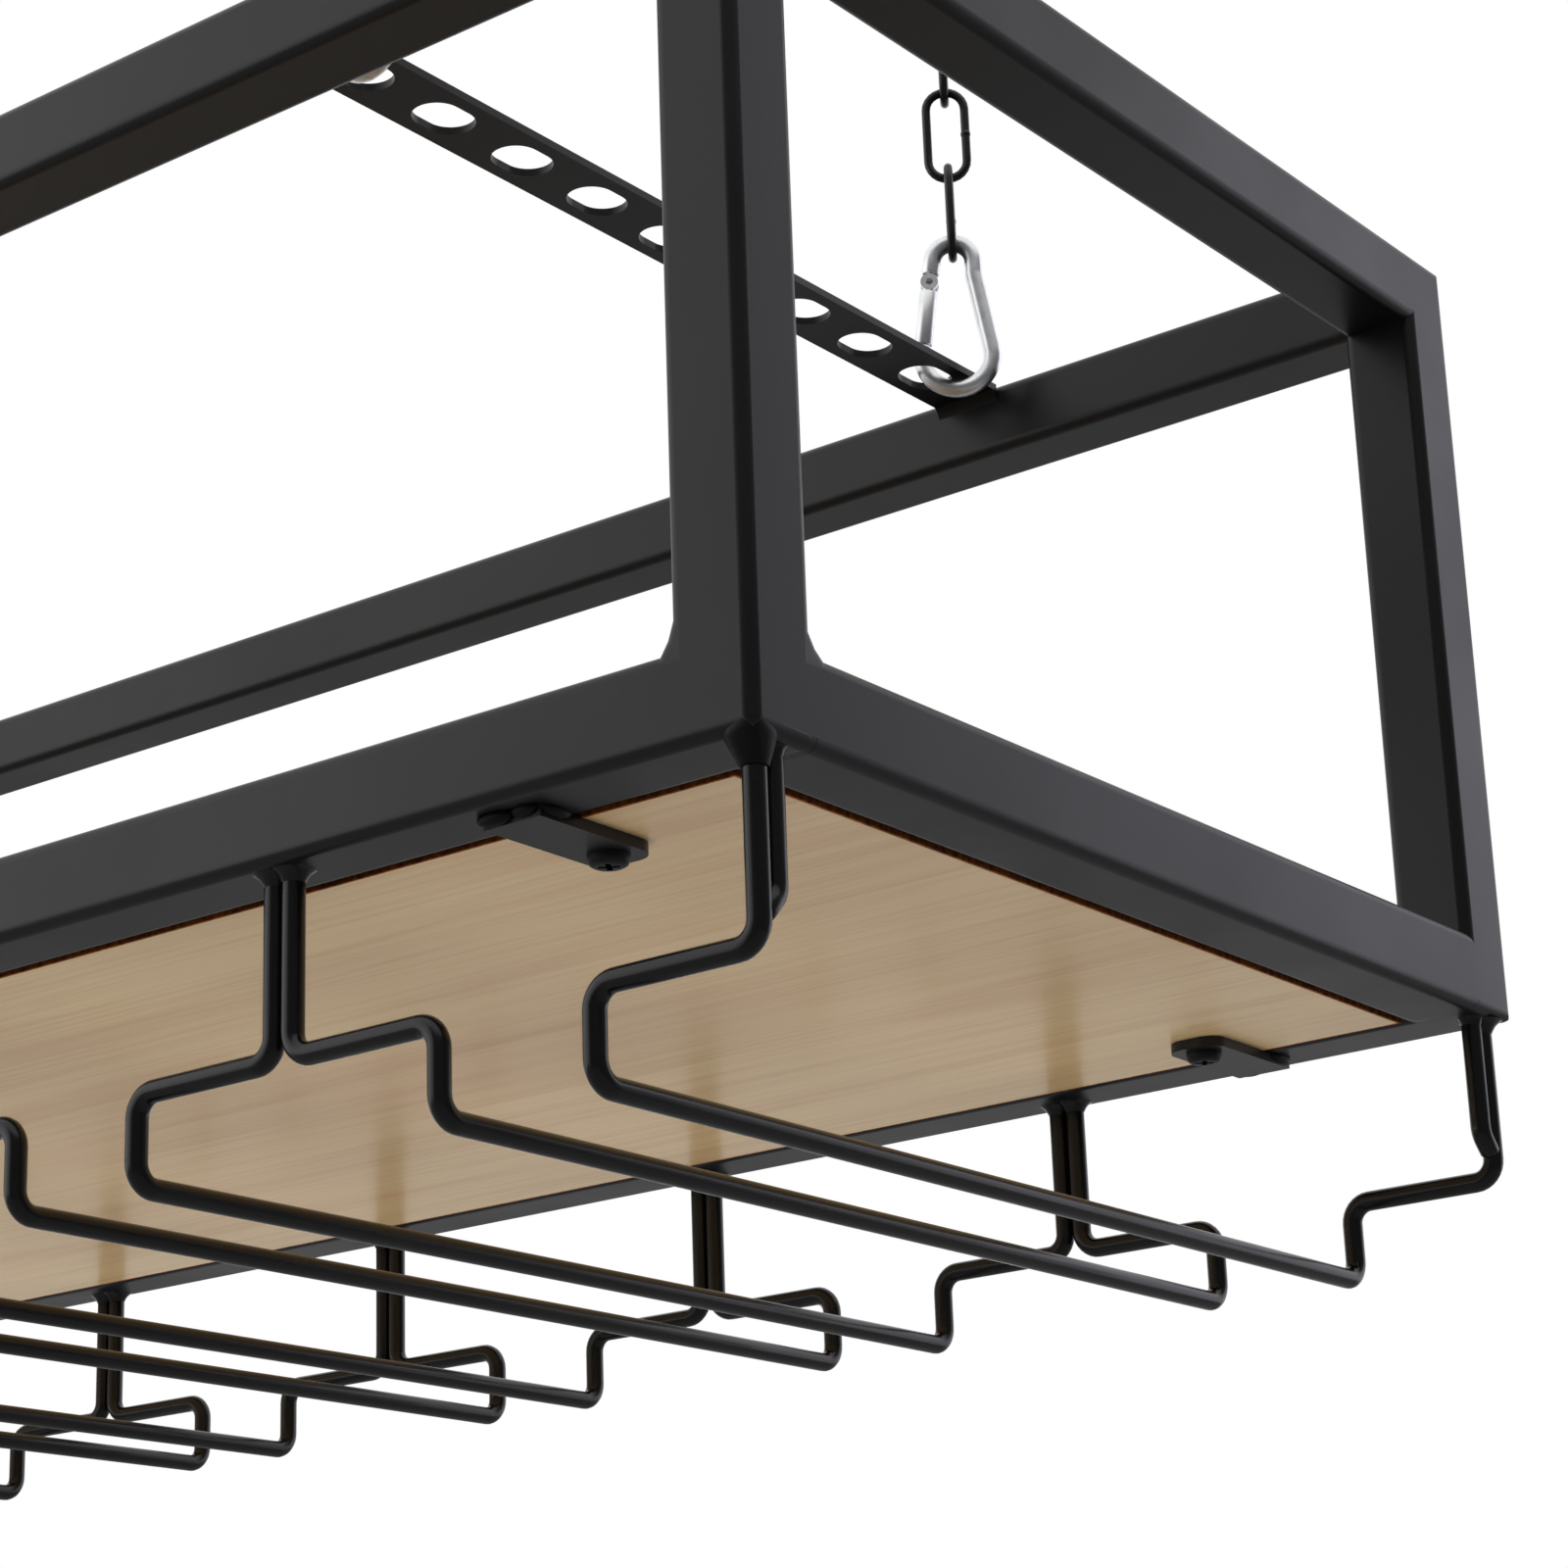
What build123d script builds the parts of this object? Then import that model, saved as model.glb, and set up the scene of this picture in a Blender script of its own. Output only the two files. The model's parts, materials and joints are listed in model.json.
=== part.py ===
import os
from math import asin, cos, pi, radians, sin
from build123d import *

os.makedirs("parts", exist_ok=True)

# Rack frame, outside sizes
rack_length = 1000.0
rack_depth = 310.0
rack_height = 207.0

# Square steel tube of the frame
tube = 20.0
tube_wall = 1.2
tube_corner = 2.7

# Shelf board, lying inside the bottom rails and flush with their undersides
board_thickness = 15.0
board_gap = 1.2

# Glass hangers, bent from round wire
slot_count = 8
hanger_wire = 5.0
hanger_inset = 7.0
end_wire_inset = 5.5
pair_gap = 0.2
run_offset = 43.0
arm_drop = 40.0
run_drop = 60.0
hanger_bend = 7.0

# Short brace wire beside each end hanger's drops
brace_gap = 0.3
brace_bottom = 36.0

# Board tabs and their screws
tab_width = 15.0
tab_thickness = 2.5
tab_root_inset = 8.0
tab_reach = 45.0
tab_round = 5.0
screw_inset = 38.0
screw_shank = 4.0
screw_length = 14.0
screw_head = 9.0
screw_head_height = 2.5
screw_clearance = 0.1

# Perforated hanging straps between the top rails
strap_inset = 140.0
strap_width = 20.0
strap_thickness = 2.0
strap_slot_width = 12.5
strap_slot_length = 17.0
strap_slot_count = 9
strap_end_margin = 21.0

# Snap hooks
snap_wire = 5.0
snap_height = 50.0
snap_width = 25.0
snap_neck = 17.0
snap_turns = {"front": 5.0, "back": 33.0}
snap_seat_gap = 1.4
snap_edge_offset = 7.8
snap_along_offset = 5.6
gate_pin_height = 32.5
gate_bottom = 13.5
gate_clearance = 0.4
cheek_radius = 2.5
tongue_radius = 1.8
tongue_thickness = 1.6
tongue_clearance = 0.3
pin_diameter = 2.0
pin_clearance = 0.05

# Chain links
link_count = 4
link_wire = 2.5
link_inner = 25.0
link_width = 13.5
link_gap = 0.4

# Ceiling hooks
hook_wire = 5.0
hook_radius = 9.0
hook_neck = 5.0
hook_opening = 60.0
collar_width = 24.0
collar_thickness = 3.0
stud_diameter = 6.0
stud_length = 40.0

# Chords that stand for each bend, and sides of the small round sections
bend_chord_count = 2
wire_side_count = 6
half_turn_chord_count = 6
hook_chord_count = 10
cheek_side_count = 8
screw_side_count = 12

# Heights, measured down from the ceiling
hook_drop = collar_thickness + hook_neck + 2 * hook_radius
hook_seat_z = -hook_drop
link_reach = link_inner + link_wire
link_hang = link_wire + link_gap
first_link_top = hook_seat_z + (hook_wire + link_wire) / 2 + link_gap
link_step = link_reach - link_hang
last_link_bottom = first_link_top - link_reach - (link_count - 1) * link_step
snap_top = last_link_bottom + (link_wire + snap_wire) / 2 + link_gap
snap_bottom = snap_top - (snap_height - snap_wire)
strap_under = snap_bottom + snap_wire / 2 + snap_seat_gap
frame_top = strap_under + strap_thickness
frame_bottom = frame_top - rack_height

# Places along the length and the depth
end_x = rack_length / 2
strap_x = end_x - strap_inset
strap_length = rack_depth - 2 * tube
chain_slot_y = strap_length / 2 - strap_end_margin
strap_slot_pitch = 2 * chain_slot_y / (strap_slot_count - 1)
chain_x = strap_x + snap_edge_offset
chain_y = chain_slot_y + snap_along_offset
first_wire_x = end_x - end_wire_inset
slot_pitch = 2 * first_wire_x / slot_count
pair_offset = (hanger_wire + pair_gap) / 2
arm_z = frame_bottom - arm_drop
run_z = frame_bottom - run_drop
hanger_y = rack_depth / 2 - hanger_inset


def keep(part, name):
    part.label = name
    export_step(part, f"parts/{name}.step")


def chord_points(route, chords):
    # Corner points of a route whose bends are drawn as a few short chords
    points = [route.edges()[0] @ 0]
    for edge in route.edges():
        count = 1 if edge.geom_type == GeomType.LINE else chords
        points += [edge @ ((step + 1) / count) for step in range(count)]
    return points


def bent_rod(points, diameter, sides):
    with BuildPart() as rod:
        with BuildLine() as route:
            Polyline(*points)
        with BuildSketch(Plane(origin=route.line @ 0, z_dir=route.line % 0)):
            RegularPolygon(diameter / 2, sides)
        sweep(transition=Transition.RIGHT)
    return rod.part


def square_tube(plane, length, mitres):
    # A hollow tube along the plane's normal, cut back by its mitre planes
    with BuildPart() as bar:
        with BuildSketch(plane):
            RectangleRounded(tube, tube, tube_corner)
            Rectangle(tube - 2 * tube_wall, tube - 2 * tube_wall, mode=Mode.SUBTRACT)
        extrude(amount=length)
        for mitre in mitres:
            split(bisect_by=mitre, keep=Keep.TOP)
    return bar.part


# Long rails and uprights, mitred into a front and a back frame
rail_y = rack_depth / 2 - tube / 2
upright_x = end_x - tube / 2
top_rail_z = frame_top - tube / 2
bottom_rail_z = frame_bottom + tube / 2
sides = {"right": 1, "left": -1}
faces = {"front": -1, "back": 1}
levels = {"top": 1, "bottom": -1}


def mitre_plane(side, level):
    # The joint plane through one corner of a frame, seen from the rail's side
    corner_z = frame_top if level > 0 else frame_bottom
    return Plane(origin=(side * end_x, 0, corner_z), z_dir=(-side, 0, level))


# Outline that rounds the frames' ground corners
with BuildPart() as outline:
    with BuildSketch(Plane.XZ.offset(-rack_depth / 2)):
        with Locations((0, (frame_top + frame_bottom) / 2)):
            RectangleRounded(rack_length, rack_height, tube_corner)
    extrude(amount=rack_depth)


def keep_rounded(bar, name):
    with BuildPart() as rounded:
        add(bar)
        add(outline.part, mode=Mode.INTERSECT)
    keep(rounded.part, name)


for face_name, face in faces.items():
    for level_name, level in levels.items():
        rail_z = top_rail_z if level > 0 else bottom_rail_z
        rail_plane = Plane(origin=(-end_x, face * rail_y, rail_z), z_dir=(1, 0, 0))
        rail_mitres = [mitre_plane(side, level) for side in sides.values()]
        rail = square_tube(rail_plane, rack_length, rail_mitres)
        keep_rounded(rail, f"{face_name}_{level_name}_rail")
    for side_name, side in sides.items():
        foot = Plane(origin=(side * upright_x, face * rail_y, frame_bottom), z_dir=(0, 0, 1))
        post_mitres = [-mitre_plane(side, level) for level in levels.values()]
        upright = square_tube(foot, rack_height, post_mitres)
        keep_rounded(upright, f"{face_name}_{side_name}_upright")

# Short end rails, butted between the front and the back frame, with their welds ground flush
end_rail_length = rack_depth - 2 * tube
butt_y = end_rail_length / 2
weld_run = tube - 2 * tube_corner
for side_name, side in sides.items():
    for level_name, level in levels.items():
        rail_z = top_rail_z if level > 0 else bottom_rail_z
        start = Plane(origin=(side * upright_x, -butt_y, rail_z), z_dir=(0, 1, 0))
        bar = square_tube(start, end_rail_length, [])
        with BuildPart() as end_rail:
            add(bar)
            for face in faces.values():
                weld_spot = (side * (end_x - tube_corner / 2), face * (butt_y + tube_corner / 2))
                round_spot = (side * (end_x - tube_corner), face * (butt_y + tube_corner))
                with BuildSketch(Plane.XY.offset(rail_z - weld_run / 2)):
                    with Locations(weld_spot):
                        Rectangle(tube_corner, tube_corner)
                    with Locations(round_spot):
                        Circle(tube_corner, mode=Mode.SUBTRACT)
                extrude(amount=weld_run)
        keep(end_rail.part, f"{side_name}_{level_name}_end_rail")

# Board tabs stand in from the front and the back bottom rail, midway across the two end slots
tab_x = first_wire_x - slot_pitch / 2
tab_places = [-tab_x, tab_x]
tab_root_y = rack_depth / 2 - tab_root_inset
tab_tip_y = rack_depth / 2 - tab_reach
tab_length = tab_root_y - tab_tip_y
screw_y = rack_depth / 2 - screw_inset
screw_spots = [(x, face * screw_y) for x in tab_places for face in faces.values()]
tab_under = frame_bottom - tab_thickness

# Shelf board with a pilot hole for each screw
board_length = rack_length - 2 * tube - 2 * board_gap
board_depth = rack_depth - 2 * tube - 2 * board_gap
pilot_depth = screw_length - tab_thickness + screw_clearance
with BuildPart() as board:
    with BuildSketch(Plane.XY.offset(frame_bottom)):
        Rectangle(board_length, board_depth)
    extrude(amount=board_thickness)
    with BuildSketch(Plane.XY.offset(frame_bottom)):
        with Locations(*screw_spots):
            RegularPolygon(screw_shank / 2 + screw_clearance, screw_side_count)
    extrude(amount=pilot_depth, mode=Mode.SUBTRACT)
keep(board.part, "shelf_board")

for face_name, face in faces.items():
    with BuildPart() as tabs:
        with BuildSketch(Plane.XY.offset(tab_under)):
            with Locations(*[(x, face * (tab_root_y + tab_tip_y) / 2) for x in tab_places]):
                Rectangle(tab_width, tab_length)
        extrude(amount=tab_thickness)
        tips = tabs.edges().filter_by(Axis.Z).group_by(Axis.Y)[0 if face > 0 else -1]
        fillet(tips, tab_round)
        with BuildSketch(Plane.XY.offset(tab_under)):
            with Locations(*[(x, face * screw_y) for x in tab_places]):
                RegularPolygon(screw_shank / 2 + screw_clearance, screw_side_count)
        extrude(amount=tab_thickness, mode=Mode.SUBTRACT)
    keep(tabs.part, f"{face_name}_board_tabs")

with BuildPart() as screws:
    with BuildSketch(Plane.XY.offset(tab_under - screw_head_height)):
        with Locations(*screw_spots):
            RegularPolygon(screw_head / 2, screw_side_count)
    extrude(amount=screw_head_height)
    with BuildSketch(Plane.XY.offset(tab_under)):
        with Locations(*screw_spots):
            RegularPolygon(screw_shank / 2, screw_side_count)
    extrude(amount=screw_length)
keep(screws.part, "board_screws")


def hanger_points(drop_x, run_x):
    # One wire: down from the front rail, out, down, back under the board and up again
    half = [(drop_x, frame_bottom), (drop_x, arm_z), (run_x, arm_z), (run_x, run_z)]
    front = [(x, -hanger_y, z) for x, z in half]
    back = [(x, hanger_y, z) for x, z in reversed(half)]
    return chord_points(FilletPolyline(*front, *back, radius=hanger_bend), bend_chord_count)


# Middle hangers are pairs of wires side by side, opening to the left and to the right
for number in range(1, slot_count):
    pair_x = first_wire_x - number * slot_pitch
    wires = []
    for side in sides.values():
        points = hanger_points(pair_x + side * pair_offset, pair_x + side * run_offset)
        wires.append(bent_rod(points, hanger_wire, wire_side_count))
    with BuildPart() as hanger:
        add(wires)
    keep(hanger.part, f"glass_hanger_{number}")

# End hangers have one wire, with a short hooked brace beside each of its drops
brace_y = hanger_y - hanger_wire - brace_gap
brace_z = frame_bottom - brace_bottom
for side_name, side in sides.items():
    wire_x = side * first_wire_x
    end_run_x = side * (first_wire_x - run_offset + pair_offset)
    end_wire = bent_rod(hanger_points(wire_x, end_run_x), hanger_wire, wire_side_count)
    keep(end_wire, f"{side_name}_end_hanger")
    braces = []
    for face in faces.values():
        drop = [(wire_x, face * brace_y, frame_bottom), (wire_x, face * brace_y, brace_z)]
        rod = bent_rod(drop, hanger_wire, wire_side_count)
        heel = Plane(origin=(wire_x, face * brace_y, brace_z + hanger_wire / 2), z_dir=(0, face, 1))
        with BuildPart() as brace:
            add(rod)
            split(bisect_by=heel, keep=Keep.TOP)
        braces.append(brace.part)
    with BuildPart() as brace_pair:
        add(braces)
    keep(brace_pair.part, f"{side_name}_hanger_braces")

# Perforated straps, their ends butted to the inner faces of the top rails
for side_name, side in sides.items():
    with BuildPart() as strap:
        with BuildSketch(Plane.XY.offset(strap_under)):
            with Locations((side * strap_x, 0)):
                Rectangle(strap_width, strap_length)
            with Locations((side * strap_x, 0)):
                with GridLocations(0, strap_slot_pitch, 1, strap_slot_count):
                    SlotOverall(strap_slot_length, strap_slot_width, rotation=90, mode=Mode.SUBTRACT)
        extrude(amount=strap_thickness)
    keep(strap.part, f"{side_name}_hanging_strap")


# Shape of a snap hook's centre line: a wide lower bow, two straight legs and a narrow upper bow
bow_radius = (snap_width - snap_wire) / 2
neck_radius = (snap_neck - snap_wire) / 2
bow_z = snap_bottom + bow_radius
neck_z = snap_top - neck_radius
leg_lean = asin((bow_radius - neck_radius) / (neck_z - bow_z))
gate_pin_z = snap_bottom + gate_pin_height
nose_z = snap_bottom + gate_bottom
bow_leg_z = bow_z + bow_radius * sin(leg_lean)


def leg_x(z):
    # Distance of a leg's centre line from the snap hook's middle at one height
    return bow_radius * cos(leg_lean) - (z - bow_leg_z) * sin(leg_lean) / cos(leg_lean)


def arc_points(radius, height, start, end, chords):
    angles = [start + (end - start) * step / chords for step in range(chords + 1)]
    return [(radius * cos(angle), height + radius * sin(angle)) for angle in angles]


def in_plane(base, points, across):
    # Points of an outline that stands in the base's own XZ or YZ plane
    if across:
        return [base.from_local_coords(Vector(0, x, z)) for x, z in points]
    return [base.from_local_coords(Vector(x, 0, z)) for x, z in points]


tongue_top_z = gate_pin_z + cheek_radius + gate_clearance
gate_foot_z = nose_z + gate_clearance
lean = leg_lean
snap_outline = [(-leg_x(tongue_top_z), tongue_top_z)]
snap_outline += arc_points(neck_radius, neck_z, pi - lean, lean, 2 * bend_chord_count)
snap_outline += arc_points(bow_radius, bow_z, lean, -pi - lean, 4 * bend_chord_count)
snap_outline += [(-leg_x(nose_z), nose_z)]
tongue_slot = tongue_thickness + 2 * tongue_clearance
slot_floor = tongue_radius + tongue_clearance

link_half = (link_width - link_wire) / 2
hook_ring_z = hook_seat_z + hook_radius
ring_end = -3 * pi / 2 + radians(hook_opening)
hook_outline = [(0, -collar_thickness)]
hook_outline += arc_points(hook_radius, hook_ring_z, pi / 2, ring_end, hook_chord_count)

for side_name, side in sides.items():
    for face_name, face in faces.items():
        corner = f"{face_name}_{side_name}"
        turn = radians(snap_turns[face_name])
        outward = (side * cos(turn), face * sin(turn), 0)
        base = Plane(origin=(side * chain_x, face * chain_y, 0), x_dir=outward, z_dir=(0, 0, 1))

        # Ceiling hook: stud, six-sided collar and open ring
        ring = bent_rod(in_plane(base, hook_outline, True), hook_wire, wire_side_count)
        with BuildPart() as ceiling_hook:
            with BuildSketch(base.offset(-collar_thickness)):
                RegularPolygon(collar_width / 2, wire_side_count)
            extrude(amount=collar_thickness)
            with BuildSketch(base):
                Circle(stud_diameter / 2)
            extrude(amount=stud_length)
            add(ring)
        keep(ceiling_hook.part, f"{corner}_ceiling_hook")

        # Chain links, each a quarter turn from the one above
        links = []
        for number in range(link_count):
            upper = first_link_top - number * link_step
            middle = upper - link_reach / 2
            half = [(link_half, middle)]
            half += arc_points(link_half, upper - link_half, 0, pi, half_turn_chord_count)
            half += [(-link_half, middle)]
            upper_half = bent_rod(in_plane(base, half, number % 2 == 1), link_wire, wire_side_count)
            with BuildPart() as link:
                add(upper_half)
                mirror(about=Plane.XY.offset(middle))
            links.append(link.part)
        keep(links[0], f"{corner}_top_link")
        with BuildPart() as chain:
            add(links[1:])
        keep(chain.part, f"{corner}_chain_links")

        # Snap hook body with a drilled tongue for the gate
        pin_spot = base.from_local_coords(Vector(-leg_x(gate_pin_z), 0, gate_pin_z))
        leg_up = base.from_local_coords(Vector(-leg_x(neck_z), 0, neck_z)) - pin_spot
        pin_plane = Plane(origin=pin_spot, x_dir=leg_up, z_dir=base.y_dir)
        tongue_reach = cheek_radius + gate_clearance + snap_wire / 2
        body_rod = bent_rod(in_plane(base, snap_outline, False), snap_wire, wire_side_count)
        with BuildPart() as snap_hook:
            add(body_rod)
            with BuildSketch(pin_plane):
                Circle(tongue_radius)
                with Locations((tongue_reach / 2, 0)):
                    Rectangle(tongue_reach, 2 * tongue_radius)
            extrude(amount=tongue_thickness / 2, both=True)
            with BuildSketch(pin_plane):
                Circle(pin_diameter / 2 + pin_clearance)
            extrude(amount=snap_wire, both=True, mode=Mode.SUBTRACT)
        keep(snap_hook.part, f"{corner}_snap_hook")

        # Gate with a forked head that turns on the pin
        gate_line = [(-leg_x(gate_pin_z), gate_pin_z), (-leg_x(gate_foot_z), gate_foot_z)]
        gate_rod = bent_rod(in_plane(base, gate_line, False), snap_wire, wire_side_count)
        with BuildPart() as gate:
            add(gate_rod)
            with BuildSketch(pin_plane):
                RegularPolygon(cheek_radius, cheek_side_count)
            extrude(amount=snap_wire / 2, both=True)
            with BuildSketch(pin_plane):
                with Locations(((cheek_radius - slot_floor) / 2, 0)):
                    Rectangle(cheek_radius + slot_floor, 2 * snap_wire)
            extrude(amount=tongue_slot / 2, both=True, mode=Mode.SUBTRACT)
            with BuildSketch(pin_plane):
                Circle(pin_diameter / 2 + pin_clearance)
            extrude(amount=snap_wire, both=True, mode=Mode.SUBTRACT)
        keep(gate.part, f"{corner}_snap_gate")

        with BuildPart() as pin:
            with BuildSketch(pin_plane):
                Circle(pin_diameter / 2)
            extrude(amount=snap_wire / 2, both=True)
        keep(pin.part, f"{corner}_gate_pin")
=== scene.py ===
import json
import math
import bmesh
import bpy
from mathutils import Matrix, Vector


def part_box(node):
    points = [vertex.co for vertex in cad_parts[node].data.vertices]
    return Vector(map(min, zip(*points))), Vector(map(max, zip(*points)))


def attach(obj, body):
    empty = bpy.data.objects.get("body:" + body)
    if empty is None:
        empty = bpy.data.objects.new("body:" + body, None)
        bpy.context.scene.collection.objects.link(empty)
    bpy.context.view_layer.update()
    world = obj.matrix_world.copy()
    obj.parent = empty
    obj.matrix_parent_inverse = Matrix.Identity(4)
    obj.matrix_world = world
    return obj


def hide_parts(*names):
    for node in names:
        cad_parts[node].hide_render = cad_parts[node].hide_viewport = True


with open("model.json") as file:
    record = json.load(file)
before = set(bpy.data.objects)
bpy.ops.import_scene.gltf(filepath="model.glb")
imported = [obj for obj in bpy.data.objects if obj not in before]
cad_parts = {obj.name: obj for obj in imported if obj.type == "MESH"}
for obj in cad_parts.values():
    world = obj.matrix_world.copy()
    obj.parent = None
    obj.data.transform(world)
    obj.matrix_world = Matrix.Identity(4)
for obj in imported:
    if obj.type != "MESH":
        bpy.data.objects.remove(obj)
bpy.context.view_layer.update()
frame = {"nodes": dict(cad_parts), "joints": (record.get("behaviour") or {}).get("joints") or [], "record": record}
nodes = frame["nodes"]
joints = {joint["name"]: joint for joint in frame["joints"]}
print("frame loaded,", len(nodes), "nodes")

mm = 0.001
sides = {"right": 1, "left": -1}
faces = {"front": -1, "back": 1}
mergeDistance = 0.005
sharpAngle = 40


def hexColour(text):
    # sRGB hex to linear
    parts = [int(text[i:i + 2], 16) / 255 for i in (0, 2, 4)]
    return [c / 12.92 if c <= 0.04045 else ((c + 0.055) / 1.055) ** 2.4 for c in parts] + [1.0]


def addNode(tree, kind, values=None, links=None, **settings):
    node = tree.nodes.new(kind)
    for name, value in settings.items():
        setattr(node, name, value)
    for socket, value in (values or {}).items():
        node.inputs[socket].default_value = value
    for socket, source in (links or {}).items():
        tree.links.new(source, node.inputs[socket])
    return node


def newMaterial(name, **values):
    material = bpy.data.materials.new(name)
    material.use_nodes = True
    tree = material.node_tree
    shader = tree.nodes["Principled BSDF"]
    for socket, value in values.items():
        shader.inputs[socket.replace("_", " ")].default_value = value
    coords = addNode(tree, "ShaderNodeTexCoord").outputs["Object"]
    return material, tree, shader, coords


def setRamp(node, stops):
    # stops is a list of (place, hex colour)
    ramp = node.color_ramp
    while len(ramp.elements) < len(stops):
        ramp.elements.new(1.0)
    for element, (place, colour) in zip(ramp.elements, stops):
        element.position = place
        element.color = hexColour(colour)


# Satin powder coat: near black, with a fine orange peel that softens every highlight
def makePowderCoat(name, coat):
    material, tree, shader, coords = newMaterial(name, Roughness=coat["roughness"], IOR=coat["ior"])
    cloud = addNode(tree, "ShaderNodeTexNoise", {"Scale": 1 / (coat["cloudMm"] * mm), "Detail": 3.0},
                    {"Vector": coords})
    tint = addNode(tree, "ShaderNodeValToRGB", links={"Fac": cloud.outputs["Fac"]})
    setRamp(tint, [(0.3, coat["dark"]), (0.7, coat["light"])])
    tree.links.new(tint.outputs["Color"], shader.inputs["Base Color"])
    gloss = addNode(tree, "ShaderNodeMapRange",
                    {"From Min": 0.3, "From Max": 0.7, "To Min": coat["roughness"] - 0.04,
                     "To Max": coat["roughness"] + 0.05}, {"Value": cloud.outputs["Fac"]})
    tree.links.new(gloss.outputs["Result"], shader.inputs["Roughness"])
    peel = addNode(tree, "ShaderNodeTexNoise", {"Scale": 1 / (coat["peelMm"] * mm), "Detail": 1.0},
                   {"Vector": coords})
    bump = addNode(tree, "ShaderNodeBump",
                   {"Strength": coat["peelStrength"], "Distance": coat["peelDepthMm"] * mm},
                   {"Height": peel.outputs["Fac"]})
    tree.links.new(bump.outputs["Normal"], shader.inputs["Normal"])
    return material


# tube, wire, screws, weld beads and chain differ in shade and gloss
frameCoat = {"dark": "101012", "light": "141416", "roughness": 0.36, "ior": 1.42, "cloudMm": 60.0,
             "peelMm": 1.1, "peelDepthMm": 0.03, "peelStrength": 0.35}
wireCoat = {"dark": "090909", "light": "0d0d0e", "roughness": 0.25, "ior": 1.43, "cloudMm": 40.0,
            "peelMm": 1.1, "peelDepthMm": 0.03, "peelStrength": 0.25}
screwCoat = {"dark": "080808", "light": "0c0c0c", "roughness": 0.5, "ior": 1.4, "cloudMm": 5.0,
             "peelMm": 0.6, "peelDepthMm": 0.02, "peelStrength": 0.2}
# weld beads: their base colour is darker than the tube's as painted shade at the joints; the lower gloss is the coat's
# own
weldCoatPaintedShade = {"dark": "060606", "light": "0a0a0a", "roughness": 0.5, "ior": 1.3, "cloudMm": 6.0,
            "peelMm": 0.9, "peelDepthMm": 0.05, "peelStrength": 0.4}
chainCoat = {"dark": "0d0d0e", "light": "141415", "roughness": 0.30, "ior": 1.5, "cloudMm": 8.0,
             "peelMm": 0.8, "peelDepthMm": 0.04, "peelStrength": 0.3}
blackFrame = makePowderCoat("blackPowderCoatTube", frameCoat)
blackWire = makePowderCoat("blackPowderCoatWire", wireCoat)
blackScrew = makePowderCoat("blackOxideScrew", screwCoat)
weldPaintedShade = makePowderCoat("weldBeadPaintedShade", weldCoatPaintedShade)
blackChain = makePowderCoat("blackDippedChain", chainCoat)

# Light oak laminate: a printed straight grain under a clear melamine skin, so wires mirror softly in it
oak = {"pale": "cbae7f", "mid": "c4a577", "warm": "bb996e", "bandMm": 70.0, "streakMm": 16.0, "lineMm": 1.8,
       "streakShare": 0.5, "lineShare": 0.4, "roughness": 0.42, "skinRoughness": 0.22, "ior": 1.5,
       "lineStrength": 0.12, "lineDepthMm": 0.02}
oakLaminate, tree, shader, coords = newMaterial(
    "lightOakLaminate", Roughness=oak["roughness"], IOR=oak["ior"], Coat_Weight=1.0,
    Coat_Roughness=oak["skinRoughness"], Coat_IOR=oak["ior"])


def grain(widthMm, lengthRatio, detail, distortion):
    # noise drawn out along X, so each streak is lengthRatio times as long as it is wide
    across = 1 / (widthMm * mm)
    stretch = addNode(tree, "ShaderNodeMapping", {"Scale": (across / lengthRatio, across, across)},
                      {"Vector": coords})
    return addNode(tree, "ShaderNodeTexNoise", {"Scale": 1.0, "Detail": detail, "Distortion": distortion},
                   {"Vector": stretch.outputs["Vector"]}).outputs["Fac"]


bands = addNode(tree, "ShaderNodeValToRGB", links={"Fac": grain(oak["bandMm"], 7.0, 2.0, 0.3)})
setRamp(bands, [(0.30, oak["pale"]), (0.52, oak["mid"]), (0.74, oak["warm"])])
streaks = addNode(tree, "ShaderNodeValToRGB", links={"Fac": grain(oak["streakMm"], 12.0, 3.0, 0.4)})
setRamp(streaks, [(0.50, "ffffff"), (0.64, "f0e0d8"), (0.78, "dfc9bd")])
lines = addNode(tree, "ShaderNodeValToRGB", links={"Fac": grain(oak["lineMm"], 40.0, 3.0, 0.0)})
setRamp(lines, [(0.46, "ffffff"), (0.70, "e2d3bf")])
streaked = addNode(tree, "ShaderNodeMix", {"Factor": oak["streakShare"]}, data_type="RGBA", blend_type="MULTIPLY")
tree.links.new(bands.outputs["Color"], streaked.inputs["A"])
tree.links.new(streaks.outputs["Color"], streaked.inputs["B"])
lined = addNode(tree, "ShaderNodeMix", {"Factor": oak["lineShare"]}, data_type="RGBA", blend_type="MULTIPLY")
tree.links.new(streaked.outputs["Result"], lined.inputs["A"])
tree.links.new(lines.outputs["Color"], lined.inputs["B"])
tree.links.new(lined.outputs["Result"], shader.inputs["Base Color"])
lineBump = addNode(tree, "ShaderNodeBump", {"Strength": oak["lineStrength"], "Distance": oak["lineDepthMm"] * mm},
                   {"Height": lines.outputs["Color"]})
tree.links.new(lineBump.outputs["Normal"], shader.inputs["Normal"])

# Brown edge tape: matt, with the board's fibres showing as fine flecks
tape = {"dark": "50260c", "light": "824610", "fleckMm": 1.5, "roughness": 0.9, "ior": 1.3, "thickness": 0.7}
brownTape, tree, shader, coords = newMaterial("brownEdgeTape", Roughness=tape["roughness"], IOR=tape["ior"])
fleck = addNode(tree, "ShaderNodeTexNoise", {"Scale": 1 / (tape["fleckMm"] * mm), "Detail": 3.0}, {"Vector": coords})
fleckTint = addNode(tree, "ShaderNodeValToRGB", links={"Fac": fleck.outputs["Fac"]})
setRamp(fleckTint, [(0.35, tape["dark"]), (0.65, tape["light"])])
tree.links.new(fleckTint.outputs["Color"], shader.inputs["Base Color"])

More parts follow.
